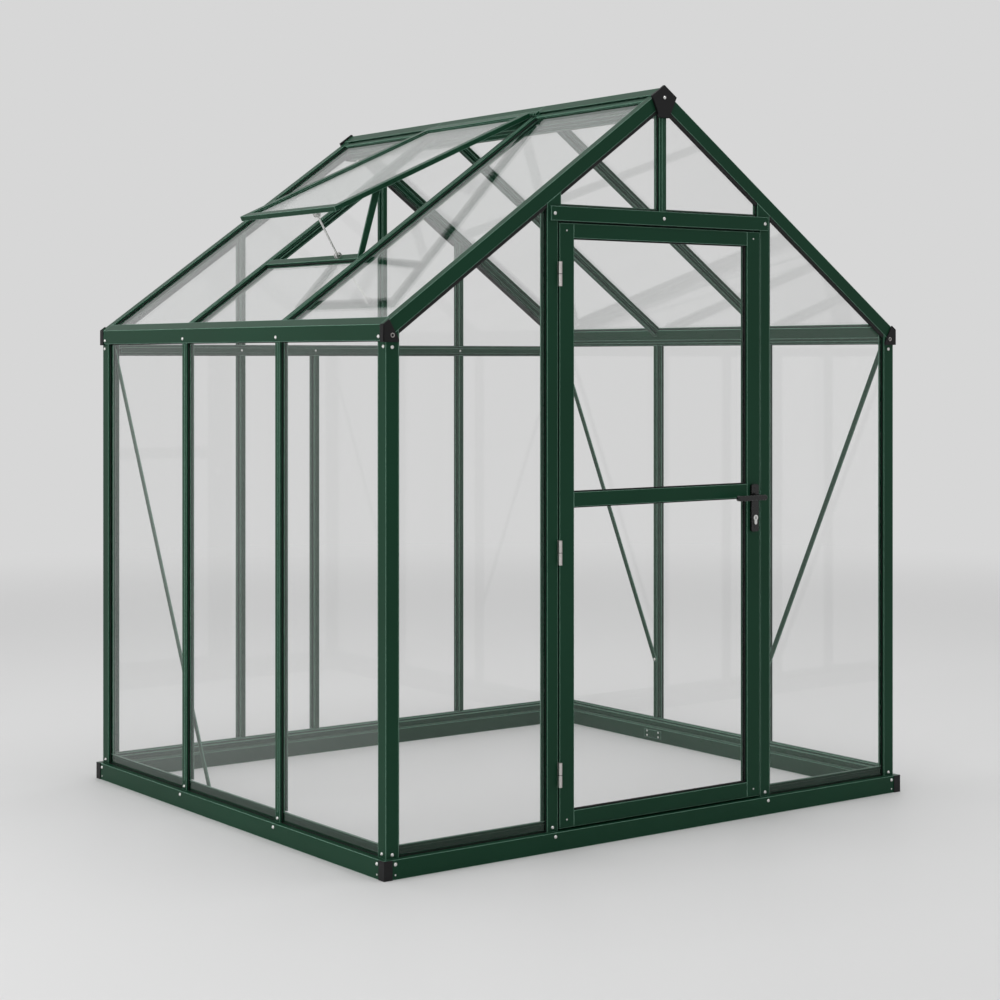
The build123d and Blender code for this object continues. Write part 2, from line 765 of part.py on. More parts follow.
with BuildPart() as vent_stay_eyes:
    low_foot = [on_left_slope(sill_run - eye_radius, 0), on_left_slope(sill_run + eye_radius, 0)]
    low_foot += [on_left_slope(sill_run + eye_radius, -eye_stand)]
    low_foot += [on_left_slope(sill_run - eye_radius, -eye_stand)]
    rail_middle = vent_length - vent_rail / 2
    high_foot = [on_vent(rail_middle - eye_radius, -vent_thick / 2)]
    high_foot += [on_vent(rail_middle + eye_radius, -vent_thick / 2)]
    high_foot += [on_vent(rail_middle + eye_radius, -vent_thick / 2 - eye_stand)]
    high_foot += [on_vent(rail_middle - eye_radius, -vent_thick / 2 - eye_stand)]
    for foot, eye in ((low_foot, low_eye), (high_foot, high_eye)):
        along_y(foot, eye_start, eye_start + eye_thick)
        with BuildSketch(Plane.XZ.offset(-eye_start - eye_thick)):
            with Locations(eye):
                Circle(eye_radius)
        extrude(amount=eye_thick)
save(vent_stay_eyes, "vent_stay_eyes")

with BuildPart() as vent_stay_rod:
    direction = (cos(stay_angle), 0, sin(stay_angle))
    start = (low_eye[0] + eye_radius * direction[0], stay_y, low_eye[1] + eye_radius * direction[2])
    with BuildSketch(Plane(origin=start, z_dir=direction)):
        Circle(stay_radius)
    extrude(amount=stay_span - 2 * eye_radius)
save(vent_stay_rod, "vent_stay_rod")

# Flat side stay from the front rafter's seat up to the vent's side rail
with BuildPart() as vent_side_stay:
    foot_run = sill_run + half_cap + side_stay_gap
    top_down = vent_length - side_stay_top
    outline = [on_left_slope(foot_run, seat_in), on_left_slope(foot_run + side_stay_width, seat_in)]
    outline += [on_vent(top_down - side_stay_width, -vent_thick / 2), on_vent(top_down, -vent_thick / 2)]
    stay_face = vent_front + half_seat
    along_y(outline, stay_face, stay_face + side_stay_thick)
save(vent_side_stay, "vent_side_stay")


# Braces: flat bars with round ends, riveted to the inner faces of posts and studs


def side_brace(side, top, foot):
    """A bar on a side wall between two places, each given as Y and Z."""
    run = foot[0] - top[0]
    fall = foot[1] - top[1]
    inner = from_side(side, frame_depth + brace_thick)
    plane = Plane.YZ.offset(min(inner, from_side(side, frame_depth)))
    with BuildSketch(plane) as bar:
        with Locations(((top[0] + foot[0]) / 2, (top[1] + foot[1]) / 2)):
            SlotCenterToCenter(hypot(run, fall), brace_width, rotation=degrees(atan2(fall, run)))
    extrude(bar.sketch, amount=brace_thick)


with BuildPart() as diagonal_braces:
    side_brace(1, (brace_inset, brace_top), (bar_places[0], brace_foot))
    side_brace(1, (depth - brace_inset, brace_top), (bar_places[-1], brace_foot))
    long_foot = (bar_places[-1] - long_brace_past, long_brace_foot)
    side_brace(-1, (depth - brace_inset, brace_top), long_foot)
save(diagonal_braces, "diagonal_braces")

# Door leaf: stiles and rails grooved for two panes
glass_front_y = leaf_glass_set - leaf_proud
glass_back_y = glass_front_y + glass_thick
stile_inner = door_half - stile_width
groove_line = stile_inner + groove_depth
stile_plan = [(door_half, -leaf_proud), (stile_inner, -leaf_proud), (stile_inner, glass_front_y)]
stile_plan += [(groove_line, glass_front_y), (groove_line, glass_back_y), (stile_inner, glass_back_y)]
stile_plan += [(stile_inner, leaf_back), (door_half, leaf_back)]
lock_x = (door_half + stile_inner) / 2


def cylinder_shape(play, start, end, mode=Mode.ADD):
    """Keyhole-shaped lock cylinder across the leaf, or the hole for it."""
    with BuildSketch(Plane.XZ.offset(-end)) as face:
        with Locations((lock_x, cylinder_height)):
            Circle(cylinder_radius + play)
        with Locations((lock_x, cylinder_height - cylinder_drop / 2)):
            Rectangle(2 * (cylinder_stem_half + play), cylinder_drop)
        with Locations((lock_x, cylinder_height - cylinder_drop)):
            Circle(cylinder_stem_half + play)
    extrude(face.sketch, amount=end - start, mode=mode)


def round_hole(radius, start, end):
    with BuildSketch(Plane.XZ.offset(-end)) as face:
        with Locations((lock_x, lever_height)):
            Circle(radius)
    extrude(face.sketch, amount=end - start, mode=Mode.SUBTRACT)


with BuildPart() as door_stiles:
    for side in (-1, 1):
        upright([(side * x, y) for x, y in stile_plan], door_low, door_high)
    round_hole(hypot(spindle_size, spindle_size) / 2 + spindle_gap, -leaf_proud, leaf_back)
    cylinder_shape(cylinder_gap, -leaf_proud, leaf_back, Mode.SUBTRACT)
save(door_stiles, "door_stiles")

top_rail = (door_high - rail_width, door_high)
mid_rail = (mid_rail_centre - rail_width / 2, mid_rail_centre + rail_width / 2)
bottom_rail = (door_low, door_low + bottom_rail_width)

with BuildPart() as door_rails:
    for low, high in (top_rail, mid_rail, bottom_rail):
        along_x(box_points((-leaf_proud, leaf_back), (low, high)), -stile_inner, stile_inner)
    for low, high in ((bottom_rail[1], mid_rail[0]), (mid_rail[1], top_rail[0])):
        groove = box_points((glass_front_y, glass_back_y), (low - groove_depth, high + groove_depth))
        along_x(groove, -stile_inner, stile_inner, Mode.SUBTRACT)
save(door_rails, "door_rails")

with BuildPart() as door_glass:
    inset = groove_depth - pane_play
    for low, high in ((bottom_rail[1], mid_rail[0]), (mid_rail[1], top_rail[0])):
        pane = box_points((glass_front_y, glass_back_y), (low - inset, high + inset))
        along_x(pane, -stile_inner - inset, stile_inner + inset)
save(door_glass, "door_glass")

# Lift-off hinges: pin and lower knuckle on the jamb, upper knuckle on the leaf
hinge_x = -(door_half + door_gap / 2)
hinge_y = -hinge_axis_front
half_hinge = hinge_length / 2


def hinge_round(radius, low, high, mode=Mode.ADD):
    with BuildSketch(Plane.XY.offset(low)) as ring:
        with Locations((hinge_x, hinge_y)):
            Circle(radius)
    extrude(ring.sketch, amount=high - low, mode=mode)


with BuildPart() as hinges_jamb:
    plate = (-jamb_line, hinge_leaf_thick - jamb_line)
    for centre in hinge_heights:
        low = centre - half_hinge
        upright(box_points(plate, (0, hinge_leaf_depth)), low, centre + half_hinge)
        upright(box_points(plate, (hinge_y, 0)), low, centre - hinge_split / 2)
        hinge_round(hinge_radius, low, centre - hinge_split / 2)
        hinge_round(hinge_pin_radius, low, centre + half_hinge - hinge_pin_short)
save(hinges_jamb, "hinges_jamb")

with BuildPart() as hinges_leaf:
    plate = (-door_half - hinge_leaf_thick, -door_half)
    for centre in hinge_heights:
        high = centre + half_hinge
        upright(box_points(plate, (0, hinge_leaf_depth)), centre - half_hinge, high)
        upright(box_points(plate, (hinge_y, 0)), centre + hinge_split / 2, high)
        hinge_round(hinge_radius, centre + hinge_split / 2, high)
        bore = hinge_pin_radius + hinge_pin_gap
        hinge_round(bore, centre, high - hinge_pin_short + hinge_split, Mode.SUBTRACT)
save(hinges_leaf, "hinges_leaf")

# Lock plates on both faces of the right stile
with BuildPart() as lock_plates:
    for start in (-leaf_proud - lock_plate_thick, leaf_back):
        with BuildSketch(Plane.XZ.offset(-start - lock_plate_thick)):
            with Locations((lock_x, plate_middle)):
                RectangleRounded(lock_plate_width, lock_plate_height, lock_plate_round)
        extrude(amount=lock_plate_thick)
    plates_front = -leaf_proud - lock_plate_thick
    plates_back = leaf_back + lock_plate_thick
    round_hole(lever_radius + lever_gap, plates_front, plates_back)
    cylinder_shape(cylinder_gap, plates_front, plates_back, Mode.SUBTRACT)
save(lock_plates, "lock_plates")

with BuildPart() as lock_cylinder:
    cylinder_shape(0, plates_front - cylinder_proud, plates_back + cylinder_proud)
save(lock_cylinder, "lock_cylinder")

# Lever handles on one square spindle: a round neck, a collar and a flat grip with round ends
grip_span = lever_length + lever_radius
grip_middle = lock_x - (lever_length - lever_radius) / 2

with BuildPart() as lever_handles:
    for face, away in ((-leaf_proud, -1), (leaf_back, 1)):
        neck = face + away * lever_gap
        neck_length = lock_plate_thick + lever_reach - lever_gap
        with BuildSketch(Plane(origin=(lock_x, neck, lever_height), z_dir=(0, away, 0))):
            Circle(lever_radius)
        extrude(amount=neck_length)
        collar = face + away * (lock_plate_thick + lever_gap)
        with BuildSketch(Plane(origin=(lock_x, collar, lever_height), z_dir=(0, away, 0))):
            Circle(collar_radius)
        extrude(amount=collar_length)
        grip_back = neck + away * neck_length + grip_thick / 2
        with BuildSketch(Plane.XZ.offset(-grip_back)):
            with Locations((grip_middle, lever_height)):
                SlotOverall(grip_span, 2 * lever_radius)
        extrude(amount=grip_thick)
    with BuildSketch(Plane.XZ.offset(-leaf_back - lever_gap)):
        with Locations((lock_x, lever_height)):
            Rectangle(spindle_size, spindle_size)
    extrude(amount=leaf_thick + 2 * lever_gap)
    ends = lever_handles.faces().filter_by(Axis.Y).sort_by(Axis.Y)
    fillet(ends[0].edges() + ends[-1].edges(), radius=grip_round)
save(lever_handles, "lever_handles")
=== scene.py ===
import json
import math

import bmesh
import bpy
import numpy as np
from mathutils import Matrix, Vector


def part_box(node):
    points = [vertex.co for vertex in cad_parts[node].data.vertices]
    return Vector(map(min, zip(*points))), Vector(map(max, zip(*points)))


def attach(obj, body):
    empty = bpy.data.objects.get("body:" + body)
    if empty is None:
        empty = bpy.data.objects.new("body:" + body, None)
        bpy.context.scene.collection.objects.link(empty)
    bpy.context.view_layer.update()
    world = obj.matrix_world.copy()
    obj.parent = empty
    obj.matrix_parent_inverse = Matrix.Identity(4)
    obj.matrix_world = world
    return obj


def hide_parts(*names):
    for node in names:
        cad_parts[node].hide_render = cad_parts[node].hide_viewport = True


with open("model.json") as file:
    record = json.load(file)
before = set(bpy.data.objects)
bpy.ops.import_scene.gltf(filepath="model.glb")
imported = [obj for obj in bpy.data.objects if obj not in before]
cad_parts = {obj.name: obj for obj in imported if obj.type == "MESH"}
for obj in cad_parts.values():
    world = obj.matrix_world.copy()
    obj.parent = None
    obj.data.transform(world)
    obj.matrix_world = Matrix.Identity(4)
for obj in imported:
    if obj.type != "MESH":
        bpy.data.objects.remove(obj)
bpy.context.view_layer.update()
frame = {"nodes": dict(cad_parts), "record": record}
print("greenhouse frame loaded:", len(frame["nodes"]), "nodes")


def linearColour(hexText, alpha=1.0):
    # sRGB hex to linear, channel by channel
    channels = [int(hexText[i:i + 2], 16) / 255 for i in (1, 3, 5)]
    linear = [c / 12.92 if c <= 0.04045 else ((c + 0.055) / 1.055) ** 2.4 for c in channels]
    return (*linear, alpha)


def addNode(tree, kind, settings=None, links=None):
    # one node, its properties and input values from settings, its incoming wires from links
    node = tree.nodes.new(kind)
    for key, value in (settings or {}).items():
        if isinstance(key, int) or key in node.inputs:
            node.inputs[key].default_value = value
        else:
            setattr(node, key, value)
    for key, source in (links or {}).items():
        tree.links.new(source, node.inputs[key])
    return node


def startMaterial(name):
    made = bpy.data.materials.new(name)
    made.use_nodes = True
    made.node_tree.nodes.clear()
    return made, made.node_tree


def closeMaterial(tree, shaderSocket):
    out = addNode(tree, "ShaderNodeOutputMaterial")
    tree.links.new(shaderSocket, out.inputs["Surface"])


def objectNoise(tree, sizeMm, detail):
    # noise on Object coordinates, with blotches about sizeMm across
    place = addNode(tree, "ShaderNodeTexCoord").outputs["Object"]
    noise = addNode(tree, "ShaderNodeTexNoise", {"Scale": 1000 / sizeMm, "Detail": detail},
                    {"Vector": place})
    return noise.outputs["Fac"]


def roughnessBetween(tree, low, high, source):
    spread = addNode(tree, "ShaderNodeMapRange", {"To Min": low, "To Max": high}, {"Value": source})
    return spread.outputs["Result"]


def colourBetween(tree, firstHex, secondHex, source):
    mix = addNode(tree, "ShaderNodeMix", {"data_type": "RGBA"}, {"Factor": source})
    mix.inputs[6].default_value = linearColour(firstHex)
    mix.inputs[7].default_value = linearColour(secondHex)
    return mix.outputs[2]


def bumpOver(tree, strength, reachM, source, links=None):
    bump = addNode(tree, "ShaderNodeBump", {"Strength": strength, "Distance": reachM},
                   {"Height": source, **(links or {})})
    return bump.outputs["Normal"]


def roundedEdges(tree, radiusMm):
    # normals that round the mesh's sharp edges over radiusMm
    edge = addNode(tree, "ShaderNodeBevel", {"samples": 4, "Radius": radiusMm / 1000})
    return edge.outputs["Normal"]


# the edge colour, with its gain and most, is a painted highlight along sharp edges, not a colour of the
# coat
powderCoat = {"dark": "#113523", "light": "#18432f", "edge": "#9fceb8", "driftPerMetre": 2.2,
              "peelMm": 1.6, "edgeMm": 2.6, "highlightGain": 9.0, "highlightMost": 0.85, "roughness": 0.34,
              "bump": 0.08}


def makePowderCoat():
    # polyester powder coat baked on aluminium: satin green with a fine orange peel, and a painted
    # highlight:
    # a pale colour mixed in along the extrusion's sharp edges, which the eye sees as a light line
    made, tree = startMaterial("powderCoatGreen")
    drift = objectNoise(tree, 1000 / powderCoat["driftPerMetre"], 3.0)
    green = colourBetween(tree, powderCoat["dark"], powderCoat["light"], drift)
    peel = objectNoise(tree, powderCoat["peelMm"], 2.0)
    satin = powderCoat["roughness"]
    rough = roughnessBetween(tree, satin - 0.05, satin + 0.07, drift)
    edge = roundedEdges(tree, powderCoat["edgeMm"])
    normal = bumpOver(tree, powderCoat["bump"], 0.0004, peel, {"Normal": edge})
    # painted highlight: where the rounded normal leaves the true face normal, the pale edge colour is
    # mixed into the green
    flat = addNode(tree, "ShaderNodeNewGeometry").outputs["True Normal"]
    agree = addNode(tree, "ShaderNodeVectorMath", {"operation": "DOT_PRODUCT"}, {0: edge, 1: flat})
    paintedHighlight = addNode(tree, "ShaderNodeMapRange",
                   {"From Min": 1.0, "From Max": 1.0 - 1.0 / powderCoat["highlightGain"],
                    "To Max": powderCoat["highlightMost"]}, {"Value": agree.outputs["Value"]})
    greenAndHighlight = addNode(tree, "ShaderNodeMix", {"data_type": "RGBA"},
                   {"Factor": paintedHighlight.outputs["Result"], 6: green})
    greenAndHighlight.inputs[7].default_value = linearColour(powderCoat["edge"])
    coat = addNode(tree, "ShaderNodeBsdfPrincipled", {"IOR": 1.5, "Specular IOR Level": 0.11},
                   {"Base Color": greenAndHighlight.outputs[2], "Roughness": rough, "Normal": normal})
    closeMaterial(tree, coat.outputs["BSDF"])
    return made


mouldedBlack = {"colour": "#101011", "grainMm": 1.2, "roughness": 0.5, "bump": 0.25}


def makeMouldedBlack():
    # injection-moulded black nylon: matt, finely grained
    made, tree = startMaterial("mouldedNylonBlack")
    grain = objectNoise(tree, mouldedBlack["grainMm"], 3.0)
    normal = bumpOver(tree, mouldedBlack["bump"], 0.0003, grain)
    matt = mouldedBlack["roughness"]
    rough = roughnessBetween(tree, matt - 0.06, matt + 0.08, grain)
    body = addNode(tree, "ShaderNodeBsdfPrincipled",
                   {"Base Color": linearColour(mouldedBlack["colour"]), "Specular IOR Level": 0.25},
                   {"Roughness": rough, "Normal": normal})
    closeMaterial(tree, body.outputs["BSDF"])
    return made


lacqueredCasting = {"colour": "#070808", "roughness": 0.26, "waveMm": 9.0, "edgeMm": 0.9}


def makeLacqueredCasting():
    # zinc casting under satin black lacquer: smooth, with slow waves
    made, tree = startMaterial("lacqueredCastingBlack")
    wave = objectNoise(tree, lacqueredCasting["waveMm"], 2.0)
    satin = lacqueredCasting["roughness"]
    rough = roughnessBetween(tree, satin - 0.06, satin + 0.08, wave)
    edge = roundedEdges(tree, lacqueredCasting["edgeMm"])
    body = addNode(tree, "ShaderNodeBsdfPrincipled",
                   {"Base Color": linearColour(lacqueredCasting["colour"])},
                   {"Roughness": rough, "Normal": edge})
    closeMaterial(tree, body.outputs["BSDF"])
    return made


def blotchedMetal(name, steel):
    # bare metal whose two greys and gloss drift together
    made, tree = startMaterial(name)
    blotch = objectNoise(tree, steel["blotchMm"], 4.0)
    grey = colourBetween(tree, steel["dull"], steel["bright"], blotch)
    rough = roughnessBetween(tree, steel["roughness"] - 0.08, steel["roughness"] + 0.12, blotch)
    edge = roundedEdges(tree, steel["edgeMm"])
    body = addNode(tree, "ShaderNodeBsdfPrincipled", {"Metallic": 1.0},
                   {"Base Color": grey, "Roughness": rough, "Normal": edge})
    closeMaterial(tree, body.outputs["BSDF"])
    return made


zincPlate = {"bright": "#ececea", "dull": "#cdcdca", "blotchMm": 7.0, "roughness": 0.34, "edgeMm": 0.5}


def makeZincPlate():
    # zinc-plated steel: pale grey metal, blotched where the passivation is uneven
    return blotchedMetal("zincPlatedSteel", zincPlate)


hingeSteel = {"bright": "#d9d4d1", "dull": "#b3aeab", "blotchMm": 5.0, "roughness": 0.38, "edgeMm": 0.6}


def makeHingeSteel():
    # rolled steel hinges, greyed by handling: darker and less bright than the zinc of the screws
    return blotchedMetal("rolledHingeSteel", hingeSteel)


floatGlass = {"clear": "#fefefe", "gloss": "#f4f6f5", "roughness": 0.03, "waveMm": 420.0,
              "bump": 0.05, "headOn": 0.03, "grazing": 0.95, "turn": 4.2}


def makeFloatGlass():
    # toughened float glass: nearly clear head on, a pale studio sheen as it turns away, and slow
    # roller waves in that sheen
    made, tree = startMaterial("toughenedFloatGlass")
    made.surface_render_method = "BLENDED"
    wave = objectNoise(tree, floatGlass["waveMm"], 1.0)
    normal = bumpOver(tree, floatGlass["bump"], 0.002, wave)
    turned = addNode(tree, "ShaderNodeLayerWeight", {"Blend": 0.5}).outputs["Facing"]
    steep = addNode(tree, "ShaderNodeMath", {"operation": "POWER", 1: floatGlass["turn"]}, {0: turned})
    share = addNode(tree, "ShaderNodeMapRange",
                    {"To Min": floatGlass["headOn"], "To Max": floatGlass["grazing"]},
                    {"Value": steep.outputs[0]})
    film = addNode(tree, "ShaderNodeBsdfTransparent", {"Color": linearColour(floatGlass["clear"])})
    sheen = addNode(tree, "ShaderNodeBsdfAnisotropic",
                    {"Color": linearColour(floatGlass["gloss"]), "Roughness": floatGlass["roughness"]},
                    {"Normal": normal})
    pane = addNode(tree, "ShaderNodeMixShader", {},
                   {0: share.outputs["Result"], 1: film.outputs[0], 2: sheen.outputs[0]})
    closeMaterial(tree, pane.outputs[0])
    return made


epdmRubber = {"colour": "#141615", "roughness": 0.62, "grainMm": 2.0}


def makeEpdmRubber():
    # extruded EPDM glazing rubber: dull near-black with a faint drag along it
    made, tree = startMaterial("epdmRubberBlack")
    grain = objectNoise(tree, epdmRubber["grainMm"], 2.0)
    dull = epdmRubber["roughness"]
    rough = roughnessBetween(tree, dull - 0.08, dull + 0.1, grain)
    body = addNode(tree, "ShaderNodeBsdfPrincipled",
                   {"Base Color": linearColour(epdmRubber["colour"]), "Specular IOR Level": 0.3},
                   {"Roughness": rough})
    closeMaterial(tree, body.outputs["BSDF"])
    return made


finishes = {"green_coat": makePowderCoat(), "black_plastic": makeMouldedBlack(),
            "black_metal": makeLacqueredCasting(), "steel": makeZincPlate(), "glass": makeFloatGlass()}
rolledSteel = makeHingeSteel()
epdm = makeEpdmRubber()

for part in frame["record"]["subparts"]:
    piece = frame["nodes"][part["node"]]
    piece.data.materials.clear()
    rolled = part["node"] in ("hinges_jamb", "hinges_leaf")
    piece.data.materials.append(rolledSteel if rolled else finishes[part["material_slot"]])
print("finishes on every CAD node")


# new pieces round the CAD nodes; lengths in metres, sections and head profiles in millimetres

greenhouse = {"halfWide": 0.95, "deep": 1.66, "eave": 1.45, "ridge": 2.13, "barFace": 0.025,
              "capDeep": 0.008, "baseTop": 0.052, "baseProud": 0.014, "rafterDeep": 0.038}
door = {"leafHalf": 0.377, "jambX": 0.383, "stileX": 0.352, "headerLow": 1.737}
roofPitch = math.atan2(greenhouse["ridge"] - greenhouse["eave"], greenhouse["halfWide"])
slopeLong = (greenhouse["ridge"] - greenhouse["eave"]) / math.sin(roofPitch)
sideBars = [greenhouse["deep"] / 3, greenhouse["deep"] * 2 / 3]
backBars = [-0.45, -0.16, 0.12, 0.45]
gableBars = [-0.45, 0.12, 0.45]
barHalf = greenhouse["barFace"] / 2
eaveLow = greenhouse["eave"] - greenhouse["rafterDeep"] / math.cos(roofPitch)


def roofTop(x, under=0.0):
    # height of the roof's outer face at x, less a depth measured square to the slope
    return greenhouse["ridge"] - abs(x) * math.tan(roofPitch) - under / math.cos(roofPitch)


def onSlope(side, y, run, out=0.0):
    # a point up the slope from the eave by run, raised off the roof by out
    inward = run * math.cos(roofPitch) - out * math.sin(roofPitch)
    height = greenhouse["eave"] + run * math.sin(roofPitch) + out * math.cos(roofPitch)
    return (side * (greenhouse["halfWide"] - inward), y, height)


def roofFacing(side):
    # unit vector square to one slope, pointing up and out
    return (side * math.sin(roofPitch), 0, math.cos(roofPitch))


def spansBetween(first, bars, last):
    # clear spans from first to last, less half a bar's face on both sides of each bar
    lines = [first - barHalf] + bars + [last + barHalf]
    return [(a + barHalf, b - barHalf) for a, b in zip(lines, lines[1:])]


def meshPiece(name, points, faces, body, slot, finish=None, smooth=False):
    mesh = bpy.data.meshes.new(name)
    mesh.from_pydata(points.reshape(-1, 3).tolist(), [], faces)
    mesh.materials.append(finish or finishes[slot])
    mesh.validate()
    if smooth:
        mesh.shade_smooth()
    made = bpy.data.objects.new(name, mesh)
    bpy.context.scene.collection.objects.link(made)
    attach(made, body)
    return made


def mendNormals(piece):
    # faces of a closed mesh turned outwards
    work = bmesh.new()
    work.from_mesh(piece.data)
    bmesh.ops.recalc_face_normals(work, faces=work.faces)
    work.to_mesh(piece.data)
    work.free()


def crossAxes(facing):
    # two unit vectors square to each facing vector
    helper = np.where(np.abs(facing[:, 2:3]) > 0.9, [[1.0, 0.0, 0.0]], [[0.0, 0.0, 1.0]])
    first = np.cross(helper, facing)
    first /= np.linalg.norm(first, axis=1, keepdims=True)
    return first, np.cross(facing, first)


def ringQuads(count):
    # quads from one ring of count points to the ring that follows it
    step = np.arange(count)
    after = (step + 1) % count
    return np.stack([step, after, count + after, count + step], -1)


def prismFaces(count, start=0):
    # sides and both lids of a prism whose two rings begin at vertex start
    lid = np.arange(count) + start
    return (ringQuads(count) + start).tolist() + [lid[::-1].tolist(), (lid + count).tolist()]


turnedSides = 20


def turnedHeads(name, heads, profile, body, slot, finish=None):
    # profile(radius, height) turned about each head's axis: p = place + r cos a u + r sin a v + h n
    place, facing = (np.array(column, float) for column in zip(*heads))
    facing /= np.linalg.norm(facing, axis=1, keepdims=True)
    first, second = crossAxes(facing)
    radius, height = np.array(profile, float).T / 1000
    angle = np.linspace(0, 2 * np.pi, turnedSides, endpoint=False)
    ringOne = radius[None, :, None] * np.cos(angle)[None, None, :]
    ringTwo = radius[None, :, None] * np.sin(angle)[None, None, :]
    points = (place[:, None, None, :] + ringOne[..., None] * first[:, None, None, :]
              + ringTwo[..., None] * second[:, None, None, :]
              + height[None, :, None, None] * facing[:, None, None, :])
    rings = len(radius)
    level = np.arange(rings - 1)[:, None, None] * turnedSides
    quads = (ringQuads(turnedSides)[None] + level).reshape(-1, 4)
    block = np.arange(len(place))[:, None, None] * rings * turnedSides
    faces = (quads[None] + block).reshape(-1, 4).tolist()
    lids = ((rings - 1) * turnedSides + np.arange(turnedSides))[None] + block[:, :, 0]
    return meshPiece(name, points, faces + lids.tolist(), body, slot, finish, smooth=True)


def carriedBars(name, section, starts, ends, outs, body, slot, finish=None):
    # closed section(side, out) carried straight from start to end: p = path + s side + o out
    start, end, out = (np.array(column, float) for column in (starts, ends, outs))
    out /= np.linalg.norm(out, axis=1, keepdims=True)
    side = np.cross(end - start, out)
    side /= np.linalg.norm(side, axis=1, keepdims=True)
    shape = np.array(section, float) / 1000
    offset = shape[None, :, :1] * side[:, None] + shape[None, :, 1:] * out[:, None]
    points = np.stack([start[:, None] + offset, end[:, None] + offset], 1)
    count = len(shape)
    step = np.arange(count)
    block = np.arange(len(start))[:, None, None] * 2 * count
    faces = (ringQuads(count)[None] + block).reshape(-1, 4).tolist()
    nearLid = (step[::-1][None] + block[:, :, 0]).tolist()
    farLid = ((count + step)[None] + block[:, :, 0]).tolist()
    piece = meshPiece(name, points, faces + nearLid + farLid, body, slot, finish)
    mendNormals(piece)
    return piece


def loopPoints(corners, out, wide, proud):
    # mitred band just inside a flat polygon: corner + wide (a + b) / (1 + a.b), a and b inward normals
    corner = np.array(corners, float)
    face = np.array(out, float) / np.linalg.norm(out)
    run = np.roll(corner, -1, 0) - corner
    run /= np.linalg.norm(run, axis=1, keepdims=True)
    inward = np.cross(face, run)
    if np.dot(inward[0], corner.mean(0) - corner[0]) < 0:
        inward = -inward
    before = np.roll(inward, 1, 0)
    turn = (inward + before) / (1 + (inward * before).sum(1, keepdims=True))
    inner = corner + wide * turn
    return np.stack([corner, corner + proud * face, inner + proud * face, inner])


def rubberLoops(name, polygons, out, band, body):
    # one rubber band round each pane's opening, on the pane's outer face
    points, faces, start = [], [], 0
    for corners in polygons:
        lanes = loopPoints(corners, out, band["wide"] / 1000, band["proud"] / 1000)
        count = lanes.shape[1]
        step = np.arange(count)
        after = (step + 1) % count
        lane = np.arange(4)[:, None] * count
        nextLane = (np.arange(4)[:, None] + 1) % 4 * count
        quads = np.stack([lane + step, lane + after, nextLane + after, nextLane + step], -1)
        points.append(lanes.reshape(-1, 3))
        faces += (quads.reshape(-1, 4) + start).tolist()
        start += 4 * count
    mendNormals(meshPiece(name, np.concatenate(points), faces, body, "black_plastic", epdm))


barRib = {"section": [(-4.5, -0.3), (-4.5, 0.1), (-3.9, 0.9), (-2.6, 1.4), (-0.9, 1.6), (0.9, 1.6),
                      (2.6, 1.4), (3.9, 0.9), (4.5, 0.1), (4.5, -0.3)],
          "footHigh": 0.082, "headGap": 0.004, "eaveRun": 0.030, "ridgeGap": {-1: 0.062, 1: 0.040},
          "backTop": 1.364, "gableFoot": 1.404, "gableShift": 0.005, "gableUnder": 0.042,
          "mullion": (1.779, 2.044)}


def makeBarRibs():
    # the low round rib that runs down the middle of each bar's outer face
    starts, ends, outs = [], [], []

    def addRib(start, end, out):
        starts.append(start)
        ends.append(end)
        outs.append(out)

    wall, deep = greenhouse["halfWide"], greenhouse["deep"]
    for side in (-1, 1):
        for y in sideBars:
            addRib((side * wall, y, barRib["footHigh"]), (side * wall, y, eaveLow - barRib["headGap"]),
                   (side, 0, 0))
            addRib(onSlope(side, y, barRib["eaveRun"]),
                   onSlope(side, y, slopeLong - barRib["ridgeGap"][side]), roofFacing(side))
    for x in backBars:
        addRib((x, deep, barRib["footHigh"]), (x, deep, barRib["backTop"]), (0, 1, 0))
    for x in gableBars:
        top = roofTop(abs(x) + barRib["gableShift"], barRib["gableUnder"])
        addRib((x, deep, barRib["gableFoot"]), (x, deep, top), (0, 1, 0))
    low, high = barRib["mullion"]
    addRib((0, 0, low), (0, 0, high), (0, -1, 0))
    carriedBars("bar_ribs", barRib["section"], starts, ends, outs, "frame", "green_coat")
    print("ribs on", len(starts), "bars")


# where the clear glass ends against posts, jambs, tie bar, eave, vent sill and ridge
paneEdge = {"wallEnd": 0.037, "roofEnd": 0.028, "post": 0.910, "jambOut": 0.419, "jambIn": 0.371,
            "headerTop": 1.777, "tieLow": 1.368, "tieHigh": 1.400, "eaveRun": 0.026,
            "ventRun": 0.3388, "ridgeRun": 0.037, "leafHalf": 0.327, "leafY": (0.008, 0.012),
            "leafPanes": ((0.102, 0.945), (0.985, 1.691))}
glazingRubber = {"wide": 2.6, "proud": 1.4}
doorRubber = {"wide": 3.5, "proud": 3.0}


